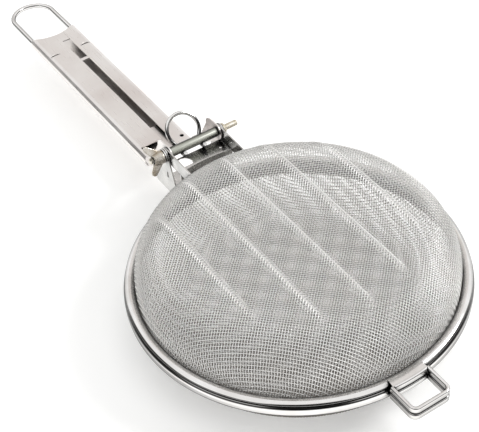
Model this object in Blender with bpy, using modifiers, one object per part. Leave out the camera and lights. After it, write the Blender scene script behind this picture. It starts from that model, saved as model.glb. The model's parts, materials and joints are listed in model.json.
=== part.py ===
"""Hand-held double sieve: two shallow wire-mesh bowls, rim to rim, on one folding handle.

Frame: origin at the centre of the flat base it stands on, +Z up, +X to the front ears,
-X along the handle, +Y along the hinge bolt away from the wing nut. The pieces are drawn
with heights counted from the plane where the two rims meet, and one empty at that plane's
height carries them all.
"""
import math

import bmesh
import bpy
from mathutils import Matrix, Vector

MM = 0.001

# Driving dimensions
RIM_RADIUS = 100.0 * MM        # outside of both rims
SHEET = 0.8 * MM               # rims, brackets and handle are this sheet
GAP = 0.4 * MM                 # clearance between neighbouring pieces
TOP_DEPTH = 31.0 * MM          # upper mesh above the parting plane
BASE_DEPTH = 32.0 * MM         # lower mesh below it
CORNER = 26.0 * MM             # rounding of both meshes' shoulders
HINGE_X = -109.5 * MM          # hinge bolt, behind the rims
HINGE_Z = 22.0 * MM            # and above them
HANDLE_WIDTH = 36.8 * MM
HANDLE_THICKNESS = 8.0 * MM
HANDLE_TOP = -4.5 * MM
HANDLE_NEAR = -143.0 * MM      # end of the handle tube by the sieve
HANDLE_FAR = -309.0 * MM       # its other end
LOOP_END = -358.0 * MM         # far side of the hanging loop
LOOP_WIRE = 1.7 * MM           # radius
LOOP_GRIP = 26.0 * MM          # length of its legs inside the handle
EAR_WIDTH = 26.0 * MM
EAR_REACH = 120.0 * MM
EAR_STRIP = 2.2 * MM           # thickness
EAR_HEIGHT = 4.0 * MM
UPPER_EAR_TOP = 3.2 * MM
LOWER_EAR_TOP = -2.0 * MM
BOLT_RADIUS = 2.0 * MM
SLEEVE_RADIUS = 3.1 * MM
RING_WIRE = 1.25 * MM          # radius
RING_RADIUS = 10.7 * MM
RING_HEIGHT = 9.0 * MM         # its centre from the bolt's axis
RING_HALF_LEGS = 7.0 * MM
RING_MIDDLE = -1.0 * MM        # sideways from the middle of the bolt
RING_LEAN = 37.0               # degrees back from upright, over the handle
RIB_SPACING = 28.0 * MM
RIB_RADIUS = 1.2 * MM
SIDE_RIBS = 2                  # on each side of the middle one
WASHER_THICKNESS = 0.8 * MM
RIVET_RADIUS = 1.3 * MM
RIVET_SPREAD = 10.0 * MM       # each rivet from the middle of the handle

SEGMENTS = 48

# Sizes that follow from them
HALF_SHEET = SHEET / 2
PARTING_HEIGHT = BASE_DEPTH + HALF_SHEET          # parting plane above the ground
LAYER = SHEET + GAP                               # pitch of the sheets stacked on the bolt
UPPER_COLLAR = RIM_RADIUS - 6.4 * MM
LOWER_COLLAR = RIM_RADIUS - 5.0 * MM
UPPER_MESH = UPPER_COLLAR - LAYER
LOWER_MESH = LOWER_COLLAR - LAYER
LOWER_COLLAR_END = -10.0 * MM
LOWER_LIP = -7.2 * MM                             # turned-in edge of the lower rim
ARM_CENTRE = HANDLE_WIDTH / 2 - SHEET             # fork arms, innermost on the bolt
LID_WALL_CENTRE = ARM_CENTRE + LAYER              # then the lid bracket's walls
BOWL_WALL_CENTRE = LID_WALL_CENTRE + LAYER        # then the bowl bracket's walls
BOWL_WALL_OUTER = BOWL_WALL_CENTRE + HALF_SHEET
SLEEVE_HALF = ARM_CENTRE - HALF_SHEET - GAP
BOLT_HOLE = BOLT_RADIUS + 0.3 * MM
HANDLE_MIDDLE = HANDLE_TOP - HANDLE_THICKNESS / 2
HANDLE_ROLL = (HANDLE_THICKNESS - SHEET) / 2      # rounding of the tube's two sides
ROLL_CENTRE = HANDLE_WIDTH / 2 - HALF_SHEET - HANDLE_ROLL
WASHER_SEAT = -BOWL_WALL_OUTER - GAP
RIVETS = (("near", -RIVET_SPREAD), ("far", RIVET_SPREAD))
RIVET_X = HANDLE_NEAR - 17.0 * MM
THROUGH = 60.0 * MM                               # a cutter this long passes right through

COLLECTION = bpy.data.collections.new("double_sieve")
CUTTERS = bpy.data.collections.new("cutters")


def clear_scene():
    for obj in list(bpy.data.objects):
        bpy.data.objects.remove(obj, do_unlink=True)
    bpy.context.scene.collection.children.link(COLLECTION)
    bpy.context.scene.collection.children.link(CUTTERS)


def material(name, colour, roughness, metallic=1.0):
    mat = bpy.data.materials.new(name)
    mat.use_nodes = True
    shader = mat.node_tree.nodes["Principled BSDF"]
    shader.inputs["Base Color"].default_value = (*colour, 1.0)
    shader.inputs["Roughness"].default_value = roughness
    shader.inputs["Metallic"].default_value = metallic
    return mat


def arc(centre_u, centre_v, radius, start, stop, steps):
    """Points along an arc, angles in degrees, in whatever plane the caller works in."""
    points = []
    for i in range(steps + 1):
        angle = math.radians(start + (stop - start) * i / steps)
        points.append((centre_u + radius * math.cos(angle), centre_v + radius * math.sin(angle)))
    return points


def finish(obj, mat):
    obj.data.materials.append(mat)
    COLLECTION.objects.link(obj)
    if obj.type == "MESH":
        smooth(obj)
    return obj


def smooth(obj):
    obj.data.shade_smooth()
    obj.data.set_sharp_from_angle(angle=math.radians(35))


def hide_as_cutter(obj):
    for collection in list(obj.users_collection):
        collection.objects.unlink(obj)
    CUTTERS.objects.link(obj)
    obj.hide_render = True
    obj.display_type = "WIRE"
    return obj


def solidify(obj, thickness):
    modifier = obj.modifiers.new("Sheet", "SOLIDIFY")
    modifier.thickness = thickness
    modifier.offset = 0.0
    modifier.use_even_offset = True
    return obj


def turned(name, profile, mat, closed=False, segments=SEGMENTS):
    """Revolve a profile of (radius, height) points about local Z."""
    mesh = bpy.data.meshes.new(name)
    edges = [(i, i + 1) for i in range(len(profile) - 1)]
    if closed:
        edges.append((len(profile) - 1, 0))
    mesh.from_pydata([(r, 0.0, z) for r, z in profile], edges, [])
    obj = finish(bpy.data.objects.new(name, mesh), mat)
    screw = obj.modifiers.new("Turn", "SCREW")
    screw.steps = segments
    screw.render_steps = segments
    screw.use_merge_vertices = True
    screw.merge_threshold = 0.00001
    screw.use_smooth_shade = True
    return obj


def bent_sheet(name, path, axis, start, stop, thickness, mat, closed=False):
    """A sheet bent along a path in one plane and run straight along the third axis."""
    bm = bmesh.new()
    place = {
        "X": lambda u, v, w: (w, u, v),
        "Y": lambda u, v, w: (u, w, v),
        "Z": lambda u, v, w: (u, v, w),
    }[axis]
    verts = [bm.verts.new(place(u, v, start)) for u, v in path]
    edges = [bm.edges.new(pair) for pair in zip(verts, verts[1:])]
    if closed:
        edges.append(bm.edges.new((verts[-1], verts[0])))
    swept = bmesh.ops.extrude_edge_only(bm, edges=edges)["geom"]
    moved = [item for item in swept if isinstance(item, bmesh.types.BMVert)]
    bmesh.ops.translate(bm, verts=moved, vec=place(0.0, 0.0, stop - start))
    bmesh.ops.recalc_face_normals(bm, faces=bm.faces)
    mesh = bpy.data.meshes.new(name)
    bm.to_mesh(mesh)
    bm.free()
    obj = finish(bpy.data.objects.new(name, mesh), mat)
    return solidify(obj, thickness)


def as_mesh(curve_obj):
    """Swap a curve object for the closed mesh it draws."""
    depsgraph = bpy.context.evaluated_depsgraph_get()
    mesh = bpy.data.meshes.new_from_object(curve_obj.evaluated_get(depsgraph))
    bm = bmesh.new()
    bm.from_mesh(mesh)
    bmesh.ops.remove_doubles(bm, verts=bm.verts, dist=0.000001)
    bm.to_mesh(mesh)
    bm.free()
    obj = bpy.data.objects.new(curve_obj.name + "_mesh", mesh)
    obj.matrix_world = curve_obj.matrix_world.copy()
    COLLECTION.objects.link(obj)
    name = curve_obj.name
    bpy.data.objects.remove(curve_obj, do_unlink=True)
    obj.name = name
    smooth(obj)
    return obj


def side_plate(name, outline, centre_y, thickness, mat):
    """A flat plate standing in the XZ plane, its outline given as (x, z) points."""
    curve = bpy.data.curves.new(name, "CURVE")
    curve.dimensions = "2D"
    curve.fill_mode = "BOTH"
    curve.extrude = thickness / 2
    spline = curve.splines.new("POLY")
    spline.points.add(len(outline) - 1)
    for point, (x, z) in zip(spline.points, outline):
        point.co = (x, z, 0.0, 1.0)
    spline.use_cyclic_u = True
    obj = finish(bpy.data.objects.new(name, curve), mat)
    obj.location = (0.0, centre_y, 0.0)
    obj.rotation_euler = (math.radians(90), 0.0, 0.0)
    bpy.context.view_layer.update()
    return as_mesh(obj)


def wire(name, points, radius, mat):
    curve = bpy.data.curves.new(name, "CURVE")
    curve.dimensions = "3D"
    curve.bevel_depth = radius
    curve.bevel_resolution = 2
    curve.use_fill_caps = True
    spline = curve.splines.new("POLY")
    spline.points.add(len(points) - 1)
    for point, co in zip(spline.points, points):
        point.co = (*co, 1.0)
    return finish(bpy.data.objects.new(name, curve), mat)


def cylinder(name, radius, length, location, axis, mat, sides=24):
    """A solid cylinder through a point, along world X, Y or Z."""
    bm = bmesh.new()
    bmesh.ops.create_cone(
        bm, cap_ends=True, segments=sides, radius1=radius, radius2=radius, depth=length
    )
    mesh = bpy.data.meshes.new(name)
    bm.to_mesh(mesh)
    bm.free()
    obj = finish(bpy.data.objects.new(name, mesh), mat)
    obj.location = location
    turn = {"X": (0.0, 90.0, 0.0), "Y": (90.0, 0.0, 0.0), "Z": (0.0, 0.0, 0.0)}[axis]
    obj.rotation_euler = [math.radians(angle) for angle in turn]
    return obj


def box(name, size, location, mat):
    bm = bmesh.new()
    bmesh.ops.create_cube(bm, size=1.0)
    bmesh.ops.scale(bm, vec=size, verts=bm.verts)
    mesh = bpy.data.meshes.new(name)
    bm.to_mesh(mesh)
    bm.free()
    obj = finish(bpy.data.objects.new(name, mesh), mat)
    obj.location = location
    return obj


def boolean(target, operand, operation):
    hide_as_cutter(operand)
    modifier = target.modifiers.new(operation.title(), "BOOLEAN")
    modifier.operation = operation
    modifier.solver = "EXACT"
    modifier.object = operand


def empty_at(name, location):
    empty = bpy.data.objects.new(name, None)
    empty.location = location
    COLLECTION.objects.link(empty)
    return empty


def stand_on_ground():
    """Carry every piece, pivot and cutter on one empty at the parting plane."""
    parting_plane = empty_at("parting_plane", (0.0, 0.0, PARTING_HEIGHT))
    for obj in list(bpy.data.objects):
        if obj.parent is None and obj is not parting_plane:
            obj.parent = parting_plane


def hang_on(empty, *objects):
    """Parent pieces to the empty on their joint's axis and leave them where they are."""
    for obj in objects:
        obj.parent = empty
        obj.matrix_parent_inverse = Matrix.Translation(empty.location).inverted()


def turn_to_y(obj, y):
    """Lay a turned piece along the hinge axis, its local +Z along world +Y."""
    obj.location = (HINGE_X, y, HINGE_Z)
    obj.rotation_euler = (math.radians(-90), 0.0, 0.0)
    return obj


STEEL = material("polished_steel", (0.78, 0.77, 0.74), 0.14)
SATIN = material("satin_steel", (0.70, 0.68, 0.64), 0.28)
MESH = material("woven_steel_mesh", (0.62, 0.60, 0.55), 0.40)
CAST = material("plated_nut", (0.66, 0.63, 0.56), 0.24)
BOLT = material("yellow_zinc_bolt", (0.62, 0.52, 0.36), 0.30)


# Mesh bowls

def bowl_profile(radius, rim_z, wall_z, floor_z, corner):
    """Section through a bowl's sheet: from the axis along one face, round its edge and back."""
    side = 1 if floor_z > rim_z else -1

    def face(offset):
        points = [(0.0, floor_z + side * offset)]
        points += arc(radius - corner, wall_z, corner + offset, side * 90, 0, 6)
        points.append((radius + offset, rim_z))
        return points

    outer = face(HALF_SHEET)
    inner = face(-HALF_SHEET)
    return outer + inner[::-1] if side > 0 else inner + outer[::-1]


def upper_mesh_dome():
    profile = bowl_profile(UPPER_MESH, -2.6 * MM, TOP_DEPTH - CORNER, TOP_DEPTH, CORNER)
    dome = turned("upper_mesh_dome", profile, MESH)
    flat_radius = UPPER_MESH - CORNER
    for step in range(-SIDE_RIBS, SIDE_RIBS + 1):
        y = step * RIB_SPACING
        length = 2 * math.sqrt(flat_radius ** 2 - y ** 2)
        rib = cylinder(
            f"rib_{step + SIDE_RIBS + 1}", RIB_RADIUS, length, (0.0, y, TOP_DEPTH), "X", MESH, 8
        )
        boolean(dome, rib, "UNION")
    return dome


def lower_mesh_bowl():
    profile = bowl_profile(LOWER_MESH, -5.0 * MM, CORNER - BASE_DEPTH, -BASE_DEPTH, CORNER)
    return turned("lower_mesh_bowl", profile, MESH)


# Rims and ears

def upper_rim():
    """A collar that drops inside the lower rim, turned out into a flat bead."""
    outer = RIM_RADIUS - HALF_SHEET
    bend = 1.2 * MM
    top = 1.6 * MM
    profile = [(UPPER_COLLAR, -3.0 * MM)]
    profile += arc(UPPER_COLLAR + bend, top - bend, bend, 180, 90, 2)
    profile += arc(outer - bend, top - bend, bend, 90, 0, 2)
    profile.append((outer, 0.0))
    return solidify(turned("upper_rim", profile, STEEL), SHEET)


def lower_rim():
    """A collar round the bowl, turned out and down into a rolled edge."""
    outer = RIM_RADIUS - HALF_SHEET
    bend = 1.2 * MM
    top = -GAP - HALF_SHEET
    profile = [(LOWER_COLLAR, LOWER_COLLAR_END)]
    profile += arc(LOWER_COLLAR + bend, top - bend, bend, 180, 90, 2)
    profile += arc(outer - bend, top - bend, bend, 90, 0, 2)
    profile += arc(outer - bend, LOWER_LIP + bend, bend, 0, -90, 2)
    profile.append((outer - 2 * bend, LOWER_LIP))
    return solidify(turned("lower_rim", profile, STEEL), SHEET)


def ear(name, top):
    """A strip bent into a closed loop, its back following the rim."""
    corner = 3.0 * MM
    back_radius = RIM_RADIUS + GAP + EAR_STRIP / 2
    half_width = (EAR_WIDTH - EAR_STRIP) / 2
    front = EAR_REACH - EAR_STRIP / 2
    edge = math.degrees(math.asin(half_width / back_radius))
    path = arc(0.0, 0.0, back_radius, -edge, edge, 4)
    path += arc(front - corner, half_width - corner, corner, 90, 0, 3)
    path += arc(front - corner, corner - half_width, corner, 0, -90, 3)
    return bent_sheet(name, path, "Z", top - EAR_HEIGHT, top, EAR_STRIP, STEEL, closed=True)


def lower_ear():
    return ear("lower_ear", LOWER_EAR_TOP)


def upper_ear():
    """The lid's ear, with a saddle that laps over the top of the rim."""
    loop = ear("upper_ear", UPPER_EAR_TOP)
    inner = UPPER_COLLAR + 1.2 * MM
    outer = RIM_RADIUS + GAP + EAR_STRIP / 2
    edge = math.degrees(math.asin((EAR_WIDTH / 2 - EAR_STRIP) / outer))
    saddle_top = UPPER_EAR_TOP - 0.1 * MM
    saddle = bent_sheet(
        "ear_saddle", arc(0.0, 0.0, (inner + outer) / 2, -edge, edge, 6), "Z",
        saddle_top - SHEET, saddle_top, outer - inner, STEEL,
    )
    boolean(loop, saddle, "UNION")
    return loop


# Hinge

def bolt_hole(name):
    return cylinder(name, BOLT_HOLE, THROUGH, (HINGE_X, 0.0, HINGE_Z), "Y", STEEL)


def channel(name, half_width, base_z, top_z, rear, front, mat):
    """A U of sheet, open at the top, run along X."""
    bend = 1.5 * MM
    path = [(-half_width, top_z)]
    path += arc(bend - half_width, base_z + bend, bend, 180, 270, 3)
    path += arc(half_width - bend, base_z + bend, bend, 270, 360, 3)
    path.append((half_width, top_z))
    return bent_sheet(name, path, "X", rear, front, SHEET, mat)


def trim_sides(obj, outline):
    """Keep only what lies inside an outline drawn in the XZ plane."""
    boolean(obj, side_plate(obj.name + "_outline", outline, 0.0, THROUGH, STEEL), "INTERSECT")


def bowl_bracket():
    """The outer walls on the bolt, with a base that runs under the lower rim's lip."""
    base = -8.5 * MM
    rear = HINGE_X - 14.5 * MM
    front = -LOWER_COLLAR
    eye = 4.6 * MM
    rim_edge = -RIM_RADIUS - GAP
    shoulder = 3.0 * MM
    outline = [(rear, base - SHEET), (front, base - SHEET), (front, LOWER_LIP)]
    outline += [(rim_edge, LOWER_LIP), (rim_edge, shoulder)]
    outline += arc(HINGE_X, HINGE_Z, eye, -20, 190, 9)
    outline.append((rear, 0.0))
    bracket = channel(
        "bowl_bracket", BOWL_WALL_CENTRE, base, HINGE_Z + 2 * eye, rear - MM, front + MM, STEEL
    )
    trim_sides(bracket, outline)
    collar_seat = LOWER_COLLAR + HALF_SHEET + GAP
    lip_seat = LOWER_LIP - HALF_SHEET - GAP / 4
    profile = [(0.0, 2 * shoulder), (RIM_RADIUS + GAP, 2 * shoulder)]
    profile += [(RIM_RADIUS + GAP, lip_seat), (collar_seat, lip_seat)]
    profile += [(collar_seat, 2 * base), (0.0, 2 * base)]
    seat = turned("rim_seat", profile, STEEL)
    boolean(bracket, seat, "DIFFERENCE")
    boolean(bracket, bolt_hole("bowl_bracket_bore"), "DIFFERENCE")
    slot_size = (1.4 * MM, THROUGH, 4.5 * MM)
    slot = box("wall_slot", slot_size, (HINGE_X + MM, 0.0, HINGE_Z - 15.0 * MM), STEEL)
    boolean(bracket, slot, "DIFFERENCE")
    return bracket


def lid_bracket():
    """A channel from the bolt to the dome's shoulder, standing on the upper rim by a curved wall."""
    base = HINGE_Z - 6.6 * MM
    eye = 4.4 * MM
    rear = HINGE_X - 2 * eye
    plate_rear = HINGE_X + 2.0 * MM
    front = -80.0 * MM
    front_top = HINGE_Z + 3.4 * MM
    front_wall = RIM_RADIUS - 3.5 * MM
    outline = [(plate_rear, base - SHEET), (front, base - SHEET), (front, front_top)]
    outline += arc(HINGE_X, HINGE_Z, eye, 90, 270, 8)
    bracket = channel(
        "lid_bracket", LID_WALL_CENTRE, base, HINGE_Z + 2 * eye, rear, front + MM, STEEL
    )
    trim_sides(bracket, outline)
    plate_front = cylinder(
        "plate_front", front_wall, 2 * SHEET, (0.0, 0.0, base), "Z", STEEL, SEGMENTS
    )
    boolean(bracket, plate_front, "DIFFERENCE")
    edge = math.degrees(math.asin(LID_WALL_CENTRE / front_wall))
    wall_bottom = 2 * MM + GAP
    wall_top = base + 1.8 * MM
    wall = bent_sheet(
        "lid_front_wall", arc(0.0, 0.0, front_wall, 180 - edge, 180 + edge, 6), "Z",
        wall_bottom, wall_top, SHEET, STEEL,
    )
    boolean(bracket, wall, "UNION")
    boolean(bracket, dome_clearance(), "DIFFERENCE")
    boolean(bracket, bolt_hole("lid_bracket_bore"), "DIFFERENCE")
    for cutter in plate_openings(base):
        boolean(bracket, cutter, "DIFFERENCE")
    return bracket


def dome_clearance():
    """The upper mesh, grown by the clearance around it."""
    outside = HALF_SHEET + GAP
    profile = [(0.0, TOP_DEPTH + outside)]
    profile += arc(UPPER_MESH - CORNER, TOP_DEPTH - CORNER, CORNER + outside, 90, 0, 8)
    profile += [(UPPER_MESH + outside, 0.0), (0.0, 0.0)]
    return turned("dome_clearance", profile, STEEL)


def plate_openings(height):
    """Cutters for the lid bracket's plate: a rounded window at one side and a small hole."""
    deep = 4 * SHEET
    window_radius = 5.2 * MM
    window_x = HINGE_X + 7.0 * MM
    window_y = -ARM_CENTRE + 6.4 * MM
    corner_size = (8.0 * MM, 6.0 * MM, deep)
    corner_y = -ARM_CENTRE + 4.2 * MM
    hole_place = (HINGE_X + 8.0 * MM, 14.5 * MM, height)
    return (
        cylinder("plate_window", window_radius, deep, (window_x, window_y, height), "Z", STEEL),
        box("plate_corner", corner_size, (window_x, corner_y, height), STEEL),
        cylinder("plate_hole", MM, deep, hole_place, "Z", STEEL, 12),
    )


def hinge_sleeve():
    """The spacer tube on the bolt, between the fork's arms."""
    profile = [(SLEEVE_RADIUS, SLEEVE_HALF), (SLEEVE_RADIUS, -SLEEVE_HALF)]
    profile += [(BOLT_HOLE, -SLEEVE_HALF), (BOLT_HOLE, SLEEVE_HALF)]
    return turn_to_y(turned("hinge_sleeve", profile, STEEL, closed=True, segments=24), 0.0)


def pivot_bolt():
    """A long bolt: flat collar and plain tail outside the far wall, thread end in the wing nut."""
    collar = 3.6 * MM
    seat = BOWL_WALL_OUTER + GAP
    collar_top = seat + 2.0 * MM
    tail_end = 32.0 * MM
    thread_end = -31.0 * MM
    profile = [(0.0, tail_end), (BOLT_RADIUS, tail_end), (BOLT_RADIUS, collar_top)]
    profile += [(collar, collar_top), (collar, seat), (BOLT_RADIUS, seat)]
    profile += [(BOLT_RADIUS, thread_end), (0.0, thread_end)]
    return turn_to_y(turned("pivot_bolt", profile, BOLT, segments=24), 0.0)


def nut_washer():
    outer = 4.5 * MM
    profile = [(outer, WASHER_THICKNESS), (outer, 0.0), (BOLT_HOLE, 0.0), (BOLT_HOLE, WASHER_THICKNESS)]
    ring = turned("nut_washer", profile, STEEL, closed=True, segments=24)
    return turn_to_y(ring, WASHER_SEAT - WASHER_THICKNESS)


def wing_nut():
    """A hub with two wings that flare away from the bracket; its bore clears the thread."""
    seat = WASHER_SEAT - WASHER_THICKNESS - GAP
    height = 6.5 * MM
    foot = 4.4 * MM
    wing_turn = math.radians(58.5)
    profile = [(0.0, 0.0), (foot, 0.0), (foot, -1.2 * MM), (3.4 * MM, -height), (0.0, -height)]
    nut = turn_to_y(turned("wing_nut", profile, CAST, segments=24), seat)
    bpy.context.view_layer.update()
    tip_radius = 1.8 * MM
    tip_centre = 9.6 * MM - tip_radius
    outline = [(0.0, -0.8 * MM), (3.6 * MM, -0.8 * MM)]
    outline += arc(tip_centre, -8.6 * MM, tip_radius, 30, -120, 5)
    outline.append((0.0, -5.5 * MM))
    for tag, turn in (("low", 0.0), ("high", math.pi)):
        wing = side_plate(f"wing_{tag}", outline, 0.0, 1.8 * MM, CAST)
        about_bolt = Matrix.Rotation(wing_turn + turn, 4, "Z")
        wing.matrix_world = nut.matrix_world @ about_bolt @ wing.matrix_world
        boolean(nut, wing, "UNION")
    boolean(nut, bolt_hole("nut_bore"), "DIFFERENCE")
    return nut


def finger_ring():
    """A wire ring whose two ends hook under the hinge sleeve; at rest it leans over the handle."""
    eye = SLEEVE_RADIUS + GAP + RING_WIRE
    meet = math.degrees(math.acos(RING_HALF_LEGS / RING_RADIUS))
    hook_path = arc(0.0, 0.0, eye, 305, 180, 8)
    ring_path = arc(RING_MIDDLE, RING_HEIGHT, RING_RADIUS, 180 + meet, -meet, 20)
    points = [(x, RING_MIDDLE - RING_HALF_LEGS, z) for x, z in hook_path]
    points += [(-eye, y, z) for y, z in ring_path]
    points += [(x, RING_MIDDLE + RING_HALF_LEGS, z) for x, z in reversed(hook_path)]
    lean = Matrix.Rotation(math.radians(-RING_LEAN), 3, "Y")
    hinge = Vector((HINGE_X, 0.0, HINGE_Z))
    return wire("finger_ring", [hinge + lean @ Vector(point) for point in points], RING_WIRE, STEEL)


# Handle

def handle_tube():
    """A flat tube of folded sheet with rounded sides and an open seam along its top."""
    seam_left = 0.4 * MM
    seam_right = 6.1 * MM
    top = HANDLE_MIDDLE + HANDLE_ROLL
    path = [(seam_left, top)]
    path += arc(-ROLL_CENTRE, HANDLE_MIDDLE, HANDLE_ROLL, 90, 270, 6)
    path += arc(ROLL_CENTRE, HANDLE_MIDDLE, HANDLE_ROLL, -90, 90, 6)
    path.append((seam_right, top))
    tube = bent_sheet("handle_tube", path, "X", HANDLE_FAR, HANDLE_NEAR, SHEET, SATIN)
    seam_middle = (seam_left + seam_right) / 2
    seam_width = seam_right - seam_left + SHEET
    closed_end = 15.0 * MM
    bridge_at = 44.0 * MM
    bridges = (("end", closed_end / 2, closed_end + SHEET), ("middle", bridge_at, 3 * MM))
    for tag, from_end, length in bridges:
        bridge = box(
            f"seam_bridge_{tag}", (length, seam_width, 0.8 * SHEET),
            (HANDLE_FAR + from_end, seam_middle, top), SATIN,
        )
        boolean(tube, bridge, "UNION")
    for cutter in tube_openings(top):
        boolean(tube, cutter, "DIFFERENCE")
    return tube


def tube_openings(top):
    """Cutters for the tube: its scooped end, stepped near end, hang hole, rivets and tab slots."""
    deep = 4 * SHEET
    step_length = 22.0 * MM
    step_size = (step_length, ROLL_CENTRE + MM, deep / 2)
    scoop_radius = 28.0 * MM
    scoop_depth = 5.0 * MM
    scoop_x = HANDLE_FAR + scoop_depth - scoop_radius
    hole_place = (HANDLE_NEAR - 5.5 * MM, 13.0 * MM, top)
    slot_size = (1.0 * MM, 7.0 * MM, deep)
    slot_x = HANDLE_FAR + 28.0 * MM
    slot_spread = 12.0 * MM
    cutters = [
        box("near_step", step_size, (HANDLE_NEAR, -ROLL_CENTRE / 2, top), SATIN),
        cylinder("end_scoop", scoop_radius, THROUGH, (scoop_x, 0.0, 0.0), "Z", SATIN, 40),
        cylinder("top_hole", 1.4 * MM, deep, hole_place, "Z", SATIN, 12),
    ]
    for tag, y in RIVETS:
        cutters.append(rivet_hole(f"tube_hole_{tag}", y))
    for tag, y in (("near", -slot_spread), ("far", slot_spread)):
        cutters.append(box(f"tab_slot_{tag}", slot_size, (slot_x, y, top), SATIN))
    return cutters


def handle_fork():
    """A base plate inside the tube, widening past its end into two arms up to the bolt."""
    base = HANDLE_MIDDLE
    rear = HANDLE_NEAR - 29.0 * MM
    mouth = HANDLE_NEAR + GAP
    front = HANDLE_NEAR + 3.0 * MM
    eye = 5.5 * MM
    shoulder_radius = 5.0 * MM
    shoulder_x = HINGE_X - 7.5 * MM
    waist = (HINGE_X - 20.5 * MM, HINGE_Z - 15.0 * MM)
    outline = [(rear, base - SHEET), (front, base - SHEET)]
    outline += arc(HINGE_X, HINGE_Z, eye, -53, 100, 8)
    outline += arc(shoulder_x, HINGE_Z, shoulder_radius, 95, 190, 4)
    outline += [waist, (mouth, HANDLE_TOP + MM)]
    outline += [(mouth, base + SHEET), (rear, base + SHEET)]
    fork = channel(
        "handle_fork", ARM_CENTRE, base, HINGE_Z + 2 * eye, rear - MM, HINGE_X + 2 * eye, SATIN
    )
    trim_sides(fork, outline)
    relief_length = mouth - rear + 2 * MM
    relief_size = (relief_length, 4 * SHEET, HANDLE_THICKNESS / 2)
    for tag, side in (("near", -1), ("far", 1)):
        place = (mouth - relief_length / 2, side * (ARM_CENTRE + HALF_SHEET), base)
        boolean(fork, box(f"roll_relief_{tag}", relief_size, place, SATIN), "DIFFERENCE")
    for tag, y in RIVETS:
        boolean(fork, rivet_hole(f"fork_hole_{tag}", y), "DIFFERENCE")
    boolean(fork, bolt_hole("handle_bore"), "DIFFERENCE")
    return fork


def rivet_hole(name, y):
    """A hole through the fork's base and the tube's underside only."""
    underside = HANDLE_MIDDLE - HANDLE_THICKNESS / 2
    low = underside - 2 * SHEET
    high = HANDLE_MIDDLE + SHEET
    centre = (RIVET_X, y, (low + high) / 2)
    return cylinder(name, RIVET_RADIUS + 0.3 * MM, high - low, centre, "Z", SATIN, 12)


def fork_rivet(tag, y):
    """Flat head under the tube, shank up through the fork, closing head on top of it."""
    head = 2.4 * MM
    crown = 0.7 * head
    head_height = 0.9 * MM
    under = HANDLE_MIDDLE - HANDLE_THICKNESS / 2 - GAP
    over = HANDLE_MIDDLE + HALF_SHEET + GAP
    profile = [(0.0, over + head_height), (crown, over + head_height), (head, over)]
    profile += [(RIVET_RADIUS, over), (RIVET_RADIUS, under), (head, under)]
    profile += [(crown, under - head_height), (0.0, under - head_height)]
    rivet = turned(f"fork_rivet_{tag}", profile, STEEL, segments=16)
    rivet.location = (RIVET_X, y, 0.0)
    return rivet


def hanging_loop():
    """A wire U whose straight legs are gripped in the handle's rolled sides."""
    leg_centre = ROLL_CENTRE + HANDLE_ROLL - HALF_SHEET - GAP - LOOP_WIRE
    bow_centre = LOOP_END + LOOP_WIRE + leg_centre
    leg_end = HANDLE_FAR + LOOP_GRIP
    points = [(leg_end, leg_centre)]
    points += arc(bow_centre, 0.0, leg_centre, 90, 270, 16)
    points.append((leg_end, -leg_centre))
    return wire("hanging_loop", [(x, y, HANDLE_MIDDLE) for x, y in points], LOOP_WIRE, STEEL)


def build():
    clear_scene()
    lower_mesh_bowl()
    lower_rim()
    lower_ear()
    bowl_bracket()
    hinge_sleeve()
    pivot_bolt()
    nut_washer()
    hinge = (HINGE_X, 0.0, HINGE_Z)
    lid = empty_at("lid_pivot", hinge)
    hang_on(lid, upper_mesh_dome(), upper_rim(), upper_ear(), lid_bracket())
    hang_on(empty_at("ring_pivot", hinge), finger_ring())
    hang_on(empty_at("nut_pivot", hinge), wing_nut())
    handle = empty_at("handle_pivot", hinge)
    hang_on(handle, handle_tube(), handle_fork(), hanging_loop())
    hang_on(handle, *[fork_rivet(tag, y) for tag, y in RIVETS])
    stand_on_ground()


build()
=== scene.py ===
"""Looks for the hand-held double sieve: woven wire bowls, polished rims, satin handle, studio."""

import json
import math

import bpy
import numpy as np
from mathutils import Matrix, Vector


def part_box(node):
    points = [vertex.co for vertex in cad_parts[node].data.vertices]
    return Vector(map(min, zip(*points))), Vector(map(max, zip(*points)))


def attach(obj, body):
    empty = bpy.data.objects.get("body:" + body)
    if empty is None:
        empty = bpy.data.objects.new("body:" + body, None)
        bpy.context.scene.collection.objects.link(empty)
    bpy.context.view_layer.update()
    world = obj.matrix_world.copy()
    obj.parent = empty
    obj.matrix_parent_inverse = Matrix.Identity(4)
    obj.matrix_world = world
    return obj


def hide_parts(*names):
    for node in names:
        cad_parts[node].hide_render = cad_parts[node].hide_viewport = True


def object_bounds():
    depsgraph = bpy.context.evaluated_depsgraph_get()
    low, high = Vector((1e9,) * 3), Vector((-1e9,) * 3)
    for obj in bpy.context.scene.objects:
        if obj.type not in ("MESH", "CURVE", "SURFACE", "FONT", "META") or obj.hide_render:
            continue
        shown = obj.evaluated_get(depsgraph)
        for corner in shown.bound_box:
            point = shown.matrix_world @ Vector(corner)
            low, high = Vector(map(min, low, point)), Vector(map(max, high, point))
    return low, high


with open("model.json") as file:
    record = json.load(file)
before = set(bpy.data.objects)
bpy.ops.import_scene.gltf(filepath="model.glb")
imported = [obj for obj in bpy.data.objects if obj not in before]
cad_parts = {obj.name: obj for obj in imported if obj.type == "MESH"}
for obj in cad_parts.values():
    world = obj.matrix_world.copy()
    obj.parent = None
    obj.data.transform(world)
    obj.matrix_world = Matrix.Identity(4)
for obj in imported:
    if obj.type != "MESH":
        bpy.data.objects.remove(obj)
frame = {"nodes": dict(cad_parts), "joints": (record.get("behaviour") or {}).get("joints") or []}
cad_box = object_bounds()

MM = 0.001

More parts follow.
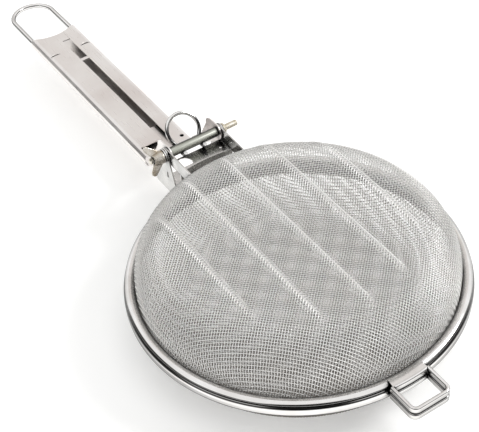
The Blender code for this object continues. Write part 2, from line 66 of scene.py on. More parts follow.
# Places read off the frame
HINGE = Vector(next(j["pos_m"] for j in frame["joints"] if j["name"] == "lid_hinge"))
LOWER_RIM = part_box("lower_rim")
UPPER_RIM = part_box("upper_rim")
RIM_RADIUS = LOWER_RIM[1].x

# Sheet metal
GAP = 0.4 * MM                 # left between pieces that would touch
SHEET = 0.8 * MM
HALF_SHEET = SHEET / 2
PARTING = LOWER_RIM[1].z + GAP
CORNER = 26.0 * MM             # rounding of both bowls' shoulders
RIM_LIP = PARTING - 6.9 * MM   # lower end of the rims
RING_LEAN = math.radians(-37)  # the finger ring rests back over the handle

# Woven wire
PITCH = 1.55 * MM
UPPER_GAUGE = 0.25 * MM        # radius of the wire
LOWER_GAUGE = 0.30 * MM
WEAVE_ANGLE = math.radians(45)
STRETCH = 0.55                 # how far the squares of the weave draw out down the walls
WIRE_SIDES = 4
PROFILE_STEPS = 600            # steps from the middle of a bowl to its edge
RIB_SPACING = 28.0 * MM
SIDE_RIBS = 2                  # ribs on each side of the middle one
RIB_HEIGHT = 1.9 * MM
RIB_WIDTH = 2.2 * MM
RIB_REACH_BACK = 18.0 * MM     # how far a rib runs onto the shoulder
RIB_REACH_FRONT = 6.0 * MM
RIB_FADE = 10.0 * MM
RIB_SWELL = 1.2                # how much wider the wire looks where the ribs press it flat

# Camera, placed from the middle of the parting plane
AZIMUTH = math.radians(59.7)
ELEVATION = math.radians(43.0)
ROLL = math.radians(-4.7)
DISTANCE = 0.701
LEFT_OF_MIDDLE = 0.0330
ABOVE_MIDDLE = 0.0303
LENS = 92.2
SENSOR = 36.0

ROUND = 48                     # sides of the sleeve and the bolt
RIM_STEPS = 288                # sides of the rims


def camera_axes():
    """Unit vectors of the camera: right, up and back."""
    back = Vector((
        math.sin(AZIMUTH) * math.cos(ELEVATION),
        -math.cos(AZIMUTH) * math.cos(ELEVATION),
        math.sin(ELEVATION),
    ))
    level = Vector((math.cos(AZIMUTH), math.sin(AZIMUTH), 0.0))
    upright = back.cross(level)
    right = level * math.cos(ROLL) + upright * math.sin(ROLL)
    up = upright * math.cos(ROLL) - level * math.sin(ROLL)
    return right, up, back


# Materials

def new_material(name, metallic=1.0):
    """A node material, its node tree and its shader."""
    mat = bpy.data.materials.new(name)
    mat.use_nodes = True
    tree = mat.node_tree
    shader = tree.nodes["Principled BSDF"]
    shader.inputs["Metallic"].default_value = metallic
    return mat, tree, shader


def object_coordinates(tree, stretch=(1.0, 1.0, 1.0)):
    """Object coordinates, stretched so a noise read through them turns into grain."""
    coords = tree.nodes.new("ShaderNodeTexCoord")
    mapping = tree.nodes.new("ShaderNodeMapping")
    mapping.inputs["Scale"].default_value = stretch
    tree.links.new(coords.outputs["Object"], mapping.inputs["Vector"])
    return mapping.outputs["Vector"]


def noise(tree, vector, scale, detail=3.0):
    """Grey noise read through a vector."""
    node = tree.nodes.new("ShaderNodeTexNoise")
    node.inputs["Scale"].default_value = scale
    node.inputs["Detail"].default_value = detail
    tree.links.new(vector, node.inputs["Vector"])
    return node.outputs["Fac"]


def ramp(tree, value, low, high, low_at=0.3, high_at=0.7):
    """Map a value onto two colours or two grey levels."""
    node = tree.nodes.new("ShaderNodeValToRGB")
    elements = node.color_ramp.elements
    elements[0].position = low_at
    elements[1].position = high_at
    for element, level in zip(elements, (low, high)):
        element.color = (*level, 1.0) if isinstance(level, tuple) else (level, level, level, 1.0)
    tree.links.new(value, node.inputs["Fac"])
    return node.outputs["Color"]


def multiply(tree, a, b):
    """The product of two colours."""
    node = tree.nodes.new("ShaderNodeMix")
    node.data_type = "RGBA"
    node.blend_type = "MULTIPLY"
    node.inputs["Factor"].default_value = 1.0
    tree.links.new(a, node.inputs["A"])
    tree.links.new(b, node.inputs["B"])
    return node.outputs["Result"]


def painted_crevice_shade(tree, colour, reach, darkest=0.03, shut_at=0.4, open_at=0.85):
    """Paint shade into a colour where other metal stands within reach."""
    node = tree.nodes.new("ShaderNodeAmbientOcclusion")
    node.samples = 8
    node.inputs["Distance"].default_value = reach
    return multiply(tree, colour, ramp(tree, node.outputs["AO"], darkest, 1.0, shut_at, open_at))


def painted_grazing_reflection(tree, colour, edge=0.04, start=0.38, end=0.82):
    """Paint a dark reflection into a colour towards grazing angles, as metal shows in a bright tent
    on a dark table.
    """
    node = tree.nodes.new("ShaderNodeLayerWeight")
    node.inputs["Blend"].default_value = 0.5
    return multiply(tree, colour, ramp(tree, node.outputs["Facing"], 1.0, edge, start, end))


def z_part(tree, source, output):
    """The Z part of a node's vector output."""
    split = tree.nodes.new("ShaderNodeSeparateXYZ")
    tree.links.new(tree.nodes.new(source).outputs[output], split.inputs["Vector"])
    return split.outputs["Z"]


def bands(tree, value, levels):
    """Grey levels at rising values, with straight runs between them."""
    node = tree.nodes.new("ShaderNodeValToRGB")
    elements = node.color_ramp.elements
    while len(elements) < len(levels):
        elements.new(0.5)
    for element, (place, level) in zip(elements, levels):
        element.position = place
        element.color = (level, level, level, 1.0)
    tree.links.new(value, node.inputs["Fac"])
    return node.outputs["Color"]


def horizon_lines(tree, colour):
    """Dark lines along rounded edges, where polish reflects the dark edge of the room."""
    size = tree.nodes.new("ShaderNodeMath")
    size.operation = "ABSOLUTE"
    tree.links.new(z_part(tree, "ShaderNodeNewGeometry", "Normal"), size.inputs[0])
    dark = 0.05
    levels = ((0.0, 1.0), (0.34, 1.0), (0.44, dark), (0.60, dark), (0.72, 1.0))
    return multiply(tree, colour, bands(tree, size.outputs[0], levels))


def painted_seam_shadows(tree, colour, heights):
    """Paint shadow into a colour over ranges of height, where a joint or a rolled edge holds shade.
    """
    blur = 0.25 * MM
    dark = 0.03
    height = z_part(tree, "ShaderNodeTexCoord", "Object")
    for low, high in heights:
        span = tree.nodes.new("ShaderNodeMapRange")
        span.inputs["From Min"].default_value = low - blur
        span.inputs["From Max"].default_value = high + blur
        tree.links.new(height, span.inputs["Value"])
        soft = blur / (high - low + 2 * blur)
        levels = ((0.0, 1.0), (soft, dark), (1.0 - soft, dark), (1.0, 1.0))
        colour = multiply(tree, colour, bands(tree, span.outputs["Result"], levels))
    return colour


def add_bump(tree, shader, height, strength, distance):
    """Roughen a shader's surface by a height."""
    node = tree.nodes.new("ShaderNodeBump")
    node.inputs["Strength"].default_value = strength
    node.inputs["Distance"].default_value = distance
    tree.links.new(height, node.inputs["Height"])
    tree.links.new(node.outputs["Normal"], shader.inputs["Normal"])


def polished_steel(name="polished_steel", painted_shadow_heights=()):
    """Mirror-bright steel with painted shade where metal meets, painted dark reflections along its
    outlines and rounded edges, and painted shadow bands at the given heights.
    """
    mat, tree, shader = new_material(name)
    place = object_coordinates(tree)
    colour = ramp(tree, noise(tree, place, 45.0), (0.78, 0.76, 0.74), (0.92, 0.91, 0.90))
    # painted shade where other metal stands close, then painted dark reflections at grazing angles
    # and along rounded edges
    colour = painted_crevice_shade(tree, colour, 4.5 * MM, darkest=0.02, shut_at=0.58, open_at=0.94)
    colour = horizon_lines(tree, painted_grazing_reflection(tree, colour))
    tree.links.new(painted_seam_shadows(tree, colour, painted_shadow_heights), shader.inputs["Base Color"])
    smears = noise(tree, place, 240.0, detail=6.0)
    tree.links.new(ramp(tree, smears, 0.06, 0.16), shader.inputs["Roughness"])
    return mat


def sheet_steel():
    """Brackets, washer and rivets: less evenly polished, with painted shade where they face each
    other.
    """
    mat, tree, shader = new_material("sheet_steel")
    place = object_coordinates(tree)
    scratches = noise(tree, object_coordinates(tree, (240.0, 1400.0, 240.0)), 1.0, detail=4.0)
    colour = ramp(tree, noise(tree, place, 110.0), (0.56, 0.56, 0.55), (0.80, 0.79, 0.77))
    tree.links.new(painted_crevice_shade(tree, colour, 7.0 * MM, darkest=0.12), shader.inputs["Base Color"])
    tree.links.new(ramp(tree, scratches, 0.12, 0.3), shader.inputs["Roughness"])
    return mat


def sleeve_steel():
    """Dull drawn tube with a green cast; painted shade darkens it along its underside and its
    grazing edges.
    """
    mat, tree, shader = new_material("sleeve_steel")
    streaks = noise(tree, object_coordinates(tree, (900.0, 40.0, 900.0)), 1.0, detail=4.0)
    colour = ramp(tree, streaks, (0.40, 0.41, 0.36), (0.62, 0.63, 0.57))
    colour = painted_grazing_reflection(tree, colour, edge=0.02, start=0.12, end=0.6)
    tree.links.new(painted_crevice_shade(tree, colour, 3.0 * MM), shader.inputs["Base Color"])
    tree.links.new(ramp(tree, streaks, 0.16, 0.3), shader.inputs["Roughness"])
    return mat


def satin_steel():
    """The handle: a soft grain along its length under faint clouds of warmer tone."""
    mat, tree, shader = new_material("satin_steel")
    grain = noise(tree, object_coordinates(tree, (60.0, 900.0, 900.0)), 1.0, detail=6.0)
    cloud = noise(tree, object_coordinates(tree), 30.0)
    colour = ramp(tree, cloud, (0.78, 0.735, 0.71), (0.90, 0.88, 0.86))
    # painted shade where other metal stands close
    tree.links.new(painted_crevice_shade(tree, colour, 5.0 * MM), shader.inputs["Base Color"])
    tree.links.new(ramp(tree, grain, 0.26, 0.36), shader.inputs["Roughness"])
    add_bump(tree, shader, grain, strength=0.05, distance=0.02 * MM)
    return mat


def wire_steel(name, dark, light, metallic):
    """Woven wire: a painted highlight along the top of each wire and painted shade down its sides.
    """
    mat, tree, shader = new_material(name, metallic)
    place = object_coordinates(tree)
    colour = ramp(tree, noise(tree, place, 70.0), dark, light)
    colour = painted_grazing_reflection(tree, colour, edge=0.10, start=0.3, end=0.85)
    tree.links.new(colour, shader.inputs["Base Color"])
    tree.links.new(ramp(tree, noise(tree, place, 400.0), 0.26, 0.42), shader.inputs["Roughness"])
    return mat


def cast_metal():
    """The wing nut: slightly pitted casting under bright plate."""
    mat, tree, shader = new_material("cast_plated")
    pits = noise(tree, object_coordinates(tree), 900.0, detail=4.0)
    tone = noise(tree, object_coordinates(tree), 260.0)
    colour = ramp(tree, tone, (0.42, 0.36, 0.28), (0.74, 0.71, 0.66))
    # painted shade in the nut's hollows, where other metal stands close
    tree.links.new(painted_crevice_shade(tree, colour, 4.0 * MM, darkest=0.15), shader.inputs["Base Color"])
    tree.links.new(ramp(tree, pits, 0.18, 0.4), shader.inputs["Roughness"])
    add_bump(tree, shader, pits, strength=0.35, distance=0.2 * MM)
    return mat


def bolt_metal():
    """The bolt: zinc plate that has yellowed in places."""
    mat, tree, shader = new_material("zinc_plate")
    cloud = noise(tree, object_coordinates(tree), 300.0)
    colour = ramp(tree, cloud, (0.60, 0.53, 0.40), (0.74, 0.71, 0.64))
    # painted shade where other metal stands close
    tree.links.new(painted_crevice_shade(tree, colour, 3.0 * MM), shader.inputs["Base Color"])
    tree.links.new(ramp(tree, cloud, 0.16, 0.3), shader.inputs["Roughness"])
    return mat


STEEL = polished_steel()
# The rims' painted shadow bands: along the parting line between the two rims, and round the lower
# rim's curled lip.
UPPER_RIM_STEEL = polished_steel("upper_rim_steel", [(PARTING - 3.0 * MM, PARTING + 0.3 * MM)])
LOWER_RIM_STEEL = polished_steel("lower_rim_steel", [
    (PARTING - 0.9 * MM, PARTING),
    (RIM_LIP - 3.0 * MM, RIM_LIP + 1.2 * MM),
])
PLATE = sheet_steel()
SATIN = satin_steel()
SLEEVE = sleeve_steel()
# The same wire in both bowls, painted as a lit copy and a shaded copy: near white in the upper bowl,
# dark in the lower bowl.
UPPER_WIRE_PAINTED_LIT = wire_steel("upper_wire_painted_lit", (0.95, 0.93, 0.90), (1.0, 0.99, 0.97), metallic=0.3)
LOWER_WIRE_PAINTED_SHADE = wire_steel("lower_wire_painted_shade", (0.24, 0.21, 0.18), (0.36, 0.33, 0.29), metallic=0.8)
CAST = cast_metal()
ZINC = bolt_metal()


# Building blocks

def add_mesh(name, verts, faces, mat, sharp=None):
    """A mesh object with its faces turned outwards."""
    mesh = bpy.data.meshes.new(name)
    mesh.from_pydata(verts, [], faces)
    mesh.validate()
    mesh.calc_loop_triangles()
    corners = np.zeros(3 * len(mesh.loop_triangles), np.int32)
    mesh.loop_triangles.foreach_get("vertices", corners)
    a, b, c = np.asarray(verts)[corners.reshape(-1, 3)].transpose(1, 0, 2)
    if np.einsum("ij,ij->i", a, np.cross(b, c)).sum() < 0:
        mesh.flip_normals()
    mesh.materials.append(mat)
    mesh.shade_smooth()
    if sharp:
        mesh.set_sharp_from_angle(angle=math.radians(sharp))
    obj = bpy.data.objects.new(name, mesh)
    bpy.context.scene.collection.objects.link(obj)
    return obj


def loft(name, rings, mat, closed=False, sharp=35):
    """Skin closed sections, given in order; an open loft gets a cap at each end."""
    count, sides = rings.shape[:2]
    index = np.arange(count * sides).reshape(count, sides)
    rows = np.vstack([index, index[:1]]) if closed else index
    here, there = rows[:-1], rows[1:]
    quads = np.stack([here, np.roll(here, -1, 1), np.roll(there, -1, 1), there], -1)
    faces = quads.reshape(-1, 4).tolist()
    if not closed:
        faces += [index[0][::-1].tolist(), index[-1].tolist()]
    return add_mesh(name, rings.reshape(-1, 3), faces, mat, sharp)


def stand_for(obj, body, node):
    """Let a piece ride on a body, in place of a CAD node if one is named."""
    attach(obj, body)
    if node:
        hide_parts(node)


def arc(centre_u, centre_v, radius, start, stop, steps):
    """Points along an arc in a plane, angles in degrees, as an array of (u, v)."""
    angles = np.radians(np.linspace(start, stop, steps + 1))
    return np.stack([centre_u + radius * np.cos(angles), centre_v + radius * np.sin(angles)], -1)


def rounded_box(width, height, corner, steps=6):
    """A rectangle's outline with rounded corners, centred on the origin."""
    u, v = width / 2 - corner, height / 2 - corner
    quarter = ((u, v, 0), (-u, v, 90), (-u, -v, 180), (u, -v, 270))
    return np.vstack([arc(cu, cv, corner, start, start + 90, steps) for cu, cv, start in quarter])


def sheet_section(path, thickness):
    """The outline of a sheet that follows an open path, its two edges rounded."""
    along = np.gradient(path, axis=0)
    along /= np.linalg.norm(along, axis=1, keepdims=True)
    across = np.stack([-along[:, 1], along[:, 0]], -1)
    half = thickness / 2
    turn = np.radians((45, 90, 135))[:, None]
    reach = half * (across[-1] * np.cos(turn) + along[-1] * np.sin(turn))
    back = half * (across[0] * np.cos(turn) + along[0] * np.sin(turn))
    return np.vstack([
        path + across * half,
        path[-1] + reach,
        (path - across * half)[::-1],
        path[0] - back,
    ])


def sweep(path, section):
    """Sections carried along a closed or open level path; section u points outward, v up."""
    along = np.gradient(path, axis=0)
    if np.allclose(path[0], path[-1]):
        along[0] = along[-1] = path[1] - path[-2]
        path, along = path[:-1], along[:-1]
    along /= np.linalg.norm(along, axis=1, keepdims=True)
    outward = np.cross(along, (0.0, 0.0, 1.0))
    rise = np.array((0.0, 0.0, 1.0))
    return (path[:, None] + section[None, :, :1] * outward[:, None]
            + section[None, :, 1:] * rise)


def turned(section, steps):
    """A (radius, distance along the axis) section turned once about an axis, in three parts:
    the two across the axis, and the one along it."""
    turn = np.linspace(0.0, 2 * math.pi, steps, endpoint=False)[:, None]
    radius = section[None, :, 0]
    distance = section[None, :, 1] + 0 * turn
    return radius * np.cos(turn), radius * np.sin(turn), distance


def around_z(section):
    """A (radius, height) section turned about the sieve's axis."""
    return np.stack(turned(section, RIM_STEPS), -1)


def around_bolt(section):
    """A (radius, distance along the bolt) section turned about the hinge axis."""
    x, z, y = turned(section, ROUND)
    return np.stack([HINGE.x + x, y, HINGE.z + z], -1)


def bent_wire(name, points, radius, mat):
    """A round wire along a row of points."""
    curve = bpy.data.curves.new(name, "CURVE")
    curve.dimensions = "3D"
    curve.bevel_depth = radius
    curve.bevel_resolution = 8
    curve.use_fill_caps = True
    spline = curve.splines.new("POLY")
    spline.points.add(len(points) - 1)
    for point, co in zip(spline.points, points):
        point.co = (*co, 1.0)
    spline.use_smooth = True
    curve.materials.append(mat)
    obj = bpy.data.objects.new(name, curve)
    bpy.context.scene.collection.objects.link(obj)
    return obj


# Woven wire bowls

class Bowl:
    """The middle surface of a bowl, addressed by the flat weave that is drawn over it."""

    def __init__(self, radius, floor_z, edge_z, corner, wire, ribbed):
        self.side = 1.0 if floor_z > edge_z else -1.0
        self.floor_z = floor_z
        self.corner = corner
        self.wire = wire
        self.flat = radius - corner
        self.bend = corner * math.pi / 2
        self.ribbed = ribbed
        reach = self.flat + self.bend + abs(floor_z - edge_z) - corner
        self.along = np.linspace(0.0, reach, PROFILE_STEPS)
        self.weave = (1.0 - STRETCH) * self.along + STRETCH * self.radius_at(self.along)
        self.reach = self.weave[-1]

    def lean_at(self, s):
        """How far the surface has turned from level, at a distance s along its profile."""
        return np.clip((s - self.flat) / self.corner, 0.0, math.pi / 2)

    def radius_at(self, s):
        return np.minimum(s, self.flat) + self.corner * np.sin(self.lean_at(s))

    def place(self, u, v):
        """Points and outward normals for weave coordinates u, v."""
        distance = np.maximum(np.hypot(u, v), 1e-9)
        heading = np.arctan2(v, u) + WEAVE_ANGLE
        s = np.interp(distance, self.weave, self.along)
        lean = self.lean_at(s)
        r = self.radius_at(s)
        wall = np.maximum(s - self.flat - self.bend, 0.0)
        z = self.floor_z - self.side * (self.corner * (1.0 - np.cos(lean)) + wall)
        x, y = r * np.cos(heading), r * np.sin(heading)
        ridge = self.rib(x, y, r) if self.ribbed else np.zeros_like(x)
        z = z + RIB_HEIGHT * ridge
        out = np.sin(lean)
        normals = np.stack([out * np.cos(heading), out * np.sin(heading),
                            self.side * np.cos(lean)], -1)
        return np.stack([x, y, z], -1), normals, self.wire * (1.0 + RIB_SWELL * ridge)

    def rib(self, x, y, r):
        """Pressed ridges along X that fade out on the shoulder, as a level from 0 to 1."""
        nearest = np.clip(np.round(y / RIB_SPACING), -SIDE_RIBS, SIDE_RIBS) * RIB_SPACING
        reach = np.where(x < 0.0, self.flat + RIB_REACH_BACK, self.flat + RIB_REACH_FRONT)
        fade = np.clip((reach - r) / RIB_FADE, 0.0, 1.0)
        return fade * np.exp(-(((y - nearest) / RIB_WIDTH) ** 2))


def wire_path(bowl, index, family):
    """One wire, a point at each crossing, alternately over and under."""
    across = (index + 0.5) * PITCH
    half = math.sqrt(max(bowl.reach ** 2 - across ** 2, 0.0))
    crossings = np.arange(-math.floor(half / PITCH) - 1, math.floor(half / PITCH) + 1)
    along = (crossings + 0.5) * PITCH
    inside = np.abs(along) < half
    if inside.sum() < 3:
        return None
    along = np.concatenate([[-half], along[inside], [half]])
    crossings = np.concatenate([[crossings[inside][0] - 1], crossings[inside],
                                [crossings[inside][-1] + 1]])
    over = np.where((crossings + index + family) % 2 == 0, 1.0, -1.0)
    other = np.full_like(along, across)
    u, v = (along, other) if family == 0 else (other, along)
    points, normals, radii = bowl.place(u, v)
    return points + normals * (over * bowl.wire)[:, None], normals, radii


def square_tube(points, normals, radii, height):
    """Corners around each point of a wire."""
    tangents = np.gradient(points, axis=0)
    tangents /= np.linalg.norm(tangents, axis=1, keepdims=True)
    sideways = np.cross(tangents, normals)
    sideways /= np.linalg.norm(sideways, axis=1, keepdims=True)
    up = np.cross(sideways, tangents)
    wide = radii[:, None]
    ring = [points + wide * sideways * math.cos(a) + height * up * math.sin(a)
            for a in np.arange(WIRE_SIDES) * 2 * math.pi / WIRE_SIDES]
    return np.stack(ring, 1)


def woven_family(name, bowl, family, mat, body, node):
    """Every wire of one direction, swept as square tubes and joined in one mesh."""
    count = math.floor(bowl.reach / PITCH)
    verts, faces, start = [], [], 0
    corner = np.arange(WIRE_SIDES)[None, :]
    following = np.roll(corner, -1)
    for index in range(-count, count):
        path = wire_path(bowl, index, family)
        if path is None:
            continue
        rings = square_tube(*path, bowl.wire)
        here = start + WIRE_SIDES * np.arange(len(rings) - 1)[:, None]
        there = here + WIRE_SIDES
        sides = [here + corner, here + following, there + following, there + corner]
        verts.append(rings.reshape(-1, 3))
        faces.append(np.stack(sides, -1).reshape(-1, WIRE_SIDES))
        faces.append(here[0] + corner[:, ::-1])
        faces.append(there[-1] + corner)
        start += WIRE_SIDES * len(rings)
    obj = add_mesh(name, np.concatenate(verts), np.concatenate(faces).tolist(), mat)
    stand_for(obj, body, node)


def woven_bowl(prefix, node, mat, wire, body, floor_z, edge_z, ribbed):
    """A bowl woven of two families of wire, both in place of one CAD bowl."""
    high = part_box(node)[1]
    bowl = Bowl(high.x - HALF_SHEET, floor_z, edge_z, CORNER, wire, ribbed)
    for family, word in enumerate(("warp", "weft")):
        woven_family(f"{prefix}_{word}", bowl, family, mat, body, node)


def upper_mesh():
    node = "upper_mesh_dome"
    low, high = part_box(node)
    cad_rib = 1.2 * MM             # how far the CAD dome's ribs stand above its floor
    floor_z = high.z - cad_rib
    woven_bowl("upper_mesh", node, UPPER_WIRE_PAINTED_LIT, UPPER_GAUGE, "lid", floor_z, low.z, ribbed=True)


def lower_mesh():
    node = "lower_mesh_bowl"
    low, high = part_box(node)
    floor_z = low.z + HALF_SHEET + LOWER_GAUGE
    woven_bowl("lower_mesh", node, LOWER_WIRE_PAINTED_SHADE, LOWER_GAUGE, "bowl", floor_z, high.z, ribbed=False)


# Rims and ears

def upper_rim():
    """A collar turned out into a crowned bead that ends just above the parting plane."""
    collar = RIM_RADIUS - 6.4 * MM
    outer = RIM_RADIUS - 1.4 * MM
    top = UPPER_RIM[1].z - HALF_SHEET
    edge = PARTING + HALF_SHEET
    half_width = (outer - collar) / 2
    rise = top - edge
    crown = (half_width ** 2 + rise ** 2) / (2 * rise)
    half_turn = math.degrees(math.asin(half_width / crown))
    middle = collar + half_width
    turn_out = edge - 0.3 * MM
    path = np.vstack([
        [(collar, UPPER_RIM[0].z), (collar, turn_out)],
        arc(middle, top - crown, crown, 90 + half_turn, 90 - half_turn, 20),
    ])
    rings = around_z(sheet_section(path, SHEET))
    obj = loft("upper_rim_bead", rings, UPPER_RIM_STEEL, closed=True)
    stand_for(obj, "lid", "upper_rim")


def lower_rim():
    """A deep collar round the bowl, turned out and down into a curled edge."""
    collar = RIM_RADIUS - 5.0 * MM
    top = LOWER_RIM[1].z - HALF_SHEET
    outer = RIM_RADIUS - HALF_SHEET
    bend = 1.2 * MM
    shoulder = 2.0 * MM
    fall = 2.8 * MM
    curl = 1.3 * MM
    path = np.vstack([
        [(collar, LOWER_RIM[0].z)],
        arc(collar + bend, top - bend, bend, 180, 90, 8),
        arc(0.0, 0.0, 1.0, 90, 0, 10) * (shoulder, fall) + (outer - shoulder, top - fall),
        arc(outer - curl, RIM_LIP + curl, curl, 0, -200, 18),
    ])
    rings = around_z(sheet_section(path, SHEET))
    obj = loft("lower_rim_bead", rings, LOWER_RIM_STEEL, closed=True)
    stand_for(obj, "bowl", "lower_rim")


def ear(name, node, body):
    """A rounded strip bent into a closed loop, its back following the rim."""
    low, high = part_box(node)
    strip = 2.2 * MM
    strip_round = 1.0 * MM
    corner = 3.4 * MM
    back_radius = RIM_RADIUS + GAP + strip / 2
    half_width = high.y - strip / 2
    front = high.x - strip / 2
    edge = math.degrees(math.asin(half_width / back_radius))
    back = arc(0.0, 0.0, back_radius, -edge, edge, 16)
    path = np.vstack([
        back,
        arc(front - corner, half_width - corner, corner, 90, 0, 10),
        arc(front - corner, corner - half_width, corner, 0, -90, 10),
        back[:1],
    ])
    height = high.z - low.z
    level = np.full((len(path), 1), (low.z + high.z) / 2)
    rings = sweep(np.hstack([path, level]), rounded_box(strip, height, strip_round))
    obj = loft(name, rings, STEEL, closed=True)
    stand_for(obj, body, node)


def ear_saddle():
    """The flat strip that laps over the upper rim and holds its ear."""
    low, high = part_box("upper_ear")
    outer = RIM_RADIUS + 1.5 * MM
    middle = (low.x + outer) / 2 + 1.0 * MM
    half_width = high.y - 1.6 * MM
    edge = math.degrees(math.asin(half_width / outer))
    path = arc(0.0, 0.0, middle, -edge, edge, 24)
    sink = 0.05 * MM
    level = np.full((len(path), 1), high.z - HALF_SHEET - sink)
    section = rounded_box(2 * (outer - middle), SHEET, 0.3 * MM)
    obj = loft("upper_ear_saddle", sweep(np.hstack([path, level]), section), STEEL)
    stand_for(obj, "lid", "upper_ear")


# Hinge

def hinge_tube():
    """The sleeve round the bolt, its edges chamfered."""
    low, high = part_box("hinge_sleeve")
    bore, outside, edge = 2.3 * MM, 3.1 * MM, 0.3 * MM
    section = np.array([
        (bore, low.y), (outside - edge, low.y), (outside, low.y + edge),
        (outside, high.y - edge), (outside - edge, high.y), (bore, high.y),
    ])
    obj = loft("hinge_tube", around_bolt(section), SLEEVE, closed=True)
    stand_for(obj, "bowl", "hinge_sleeve")


def pivot_bolt():
    """The bolt: grooves for a thread at the nut's end, a collar outside the far wall."""
    low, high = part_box("pivot_bolt")
    core, crest, pitch = 1.7 * MM, 2.0 * MM, 0.7 * MM
    thread_length = 10.5 * MM
    tip = 0.5 * MM
    axis = 0.02 * MM               # a hair's width, so that the ends aren't points
    collar, chamfer = 3.6 * MM, 0.4 * MM
    collar_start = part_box("bowl_bracket")[1].y + GAP
    collar_end = collar_start + 2.0 * MM
    section = [(axis, low.y), (core - 0.4 * MM, low.y)]
    for turn in range(int(thread_length / pitch)):
        start = low.y + 0.3 * MM + turn * pitch
        section += [(core, start), (crest, start + 0.3 * pitch), (crest, start + 0.5 * pitch)]
    section += [
        (crest, collar_start), (collar - chamfer, collar_start),
        (collar, collar_start + chamfer), (collar, collar_end - chamfer),
        (collar - chamfer, collar_end), (crest, collar_end),
        (crest, high.y - tip), (crest - tip, high.y), (axis, high.y),
    ]
    rings = around_bolt(np.array(section))
    obj = loft("pivot_bolt_threaded", rings, ZINC, closed=True, sharp=30)
    stand_for(obj, "bowl", "pivot_bolt")


def finger_ring():
    """A wire ring whose ends hook under the sleeve, leaning back over the handle."""
    low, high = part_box("finger_ring")
    wire = 1.25 * MM
    eye = 4.75 * MM
    radius, height, half_legs = 10.7 * MM, 9.0 * MM, 7.0 * MM
    middle = (low.y + high.y) / 2
    lean = Matrix.Rotation(RING_LEAN, 3, "Y")
    meet = math.degrees(math.acos(half_legs / radius))
    hook_path = arc(0.0, 0.0, eye, 305, 180, 24)
    ring_path = arc(middle, height, radius, 180 + meet, -meet, 72)
    points = [(x, middle - half_legs, z) for x, z in hook_path]
    points += [(-eye, y, z) for y, z in ring_path]
    points += [(x, middle + half_legs, z) for x, z in hook_path[::-1]]
    place = Vector((HINGE.x, 0.0, HINGE.z))
    obj = bent_wire("finger_ring_wire", [place + lean @ Vector(p) for p in points], wire, STEEL)
    stand_for(obj, "finger_ring", "finger_ring")


# Handle

def hanging_loop():
    """A wire bow, round at its free end, its legs inside the handle's rolled sides."""
    low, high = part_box("hanging_loop")
    wire = (high.z - low.z) / 2
    spread = high.y - wire
    level = (high.z + low.z) / 2
    bow = arc(low.x + wire + spread, 0.0, spread, 90, 270, 48)
    outline = [(high.x, spread), *bow, (high.x, -spread)]
    obj = bent_wire("hanging_loop_wire", [(x, y, level) for x, y in outline], wire, STEEL)
    stand_for(obj, "handle", "hanging_loop")


def lance_marks():
    """Half-moon lips raised where the handle's skin is struck down onto the loop's legs."""
    low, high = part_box("handle_tube")
    inset = 30.5 * MM
    from_middle = 12.0 * MM
    lip = 0.35 * MM
    bow = arc(0.0, 0.0, 4.0 * MM, 30, 150, 16)
    level = high.z - 0.1 * MM
    for tag, y in (("near", -from_middle), ("far", from_middle)):
        points = [(low.x + inset - v, y + u, level) for u, v in bow]
        obj = bent_wire(f"lance_mark_{tag}", points, lip, SATIN)
        stand_for(obj, "handle", None)


# CAD pieces that stay

def finish_cad(name, mat):
    """Give a CAD piece its material."""
    obj = frame["nodes"][name]
    obj.data.materials.clear()
    obj.data.materials.append(mat)
    return obj


def dress_cad():
    """Finish the sheet pieces, and melt the wing nut's facets into a casting."""
    for name in ("lid_bracket", "bowl_bracket", "nut_washer", "fork_rivet_near", "fork_rivet_far"):
        finish_cad(name, PLATE)
    for name in ("handle_tube", "handle_fork"):
        finish_cad(name, SATIN)
    nut = finish_cad("wing_nut", CAST)
    remesh = nut.modifiers.new("Cast", "REMESH")
    remesh.mode = "VOXEL"
    remesh.voxel_size = 0.22 * MM
    remesh.use_smooth_shade = True
    smooth = nut.modifiers.new("Soft", "SMOOTH")
    smooth.iterations = 8


# Studio

def card(tree, direction, axis, shade, low, high, both_ways=False):
    """White, but for a card of the given shade inside a cone about an axis (cosines of its edge)."""
    dot = tree.nodes.new("ShaderNodeVectorMath")
    dot.operation = "DOT_PRODUCT"
    dot.inputs[1].default_value = axis
    tree.links.new(direction, dot.inputs[0])
    value = dot.outputs["Value"]
    if both_ways:
        size = tree.nodes.new("ShaderNodeMath")
        size.operation = "ABSOLUTE"
        tree.links.new(value, size.inputs[0])
        value = size.outputs[0]
    return ramp(tree, value, 1.0, shade, low, high)


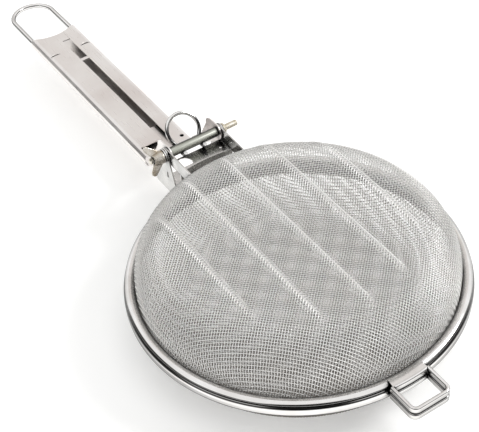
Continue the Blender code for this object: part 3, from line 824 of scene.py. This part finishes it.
def studio_world():
    """White all round; mirrors also see dark cards at the sides and low behind the camera,
    and a warm grey one across from it."""
    world = bpy.data.worlds.new("studio")
    bpy.context.scene.world = world
    world.use_nodes = True
    tree = world.node_tree
    right, _, back = camera_axes()
    direction = tree.nodes.new("ShaderNodeTexCoord").outputs["Generated"]
    across = Vector((-back.x, -back.y, back.z))
    behind = Vector((back.x, back.y, 0.6 * back.z)).normalized()
    warm_grey = (0.84, 0.81, 0.79)
    far_card = card(tree, direction, across, warm_grey, 0.90, 0.97)
    side_cards = card(tree, direction, right, 0.05, 0.86, 0.92, both_ways=True)
    low_card = card(tree, direction, behind, 0.03, 0.90, 0.94)
    cards = multiply(tree, multiply(tree, far_card, side_cards), low_card)
    path = tree.nodes.new("ShaderNodeLightPath")
    choose = tree.nodes.new("ShaderNodeMix")
    choose.data_type = "RGBA"
    choose.inputs["A"].default_value = (1.0, 1.0, 1.0, 1.0)
    tree.links.new(path.outputs["Is Glossy Ray"], choose.inputs["Factor"])
    tree.links.new(cards, choose.inputs["B"])
    background = tree.nodes["Background"]
    tree.links.new(choose.outputs["Result"], background.inputs["Color"])
    background.inputs["Strength"].default_value = 0.95


def area_light(name, place, size, power):
    """A round light that faces the origin."""
    light = bpy.data.lights.new(name, "AREA")
    light.shape = "DISK"
    light.size = size
    light.energy = power
    obj = bpy.data.objects.new(name, light)
    bpy.context.scene.collection.objects.link(obj)
    obj.location = place
    obj.rotation_mode = "QUATERNION"
    obj.rotation_quaternion = (-Vector(place)).to_track_quat("-Z", "Y")


def floor():
    """A pale floor at the object's lowest point, lit a little from within."""
    bpy.ops.mesh.primitive_plane_add(size=20.0, location=(0.0, 0.0, cad_box[0].z))
    plane = bpy.context.object
    plane.name = "floor"
    mat, tree, shader = new_material("pale_floor", metallic=0.0)
    shader.inputs["Base Color"].default_value = (0.95, 0.95, 0.94, 1.0)
    shader.inputs["Roughness"].default_value = 0.7
    shader.inputs["Emission Color"].default_value = (1.0, 1.0, 1.0, 1.0)
    shader.inputs["Emission Strength"].default_value = 0.16
    plane.data.materials.append(mat)


def camera():
    """A camera at the set angle, its middle moved off the sieve's middle."""
    right, up, back = camera_axes()
    data = bpy.data.cameras.new("camera")
    data.lens = LENS
    data.sensor_width = SENSOR
    obj = bpy.data.objects.new("camera", data)
    bpy.context.scene.collection.objects.link(obj)
    middle = Vector((0.0, 0.0, PARTING))
    place = middle + back * DISTANCE - right * LEFT_OF_MIDDLE + up * ABOVE_MIDDLE
    turn = Matrix((right, up, back)).transposed().to_4x4()
    obj.matrix_world = Matrix.Translation(place) @ turn
    bpy.context.scene.camera = obj


upper_mesh()
lower_mesh()
upper_rim()
lower_rim()
ear("lower_ear_loop", "lower_ear", "bowl")
ear("upper_ear_loop", "upper_ear", "lid")
ear_saddle()
hinge_tube()
pivot_bolt()
finger_ring()
hanging_loop()
lance_marks()
dress_cad()
studio_world()
area_light("key", place=(0.4, 0.9, 0.9), size=0.5, power=9.0)
floor()
camera()
bpy.context.scene.view_settings.view_transform = "Standard"
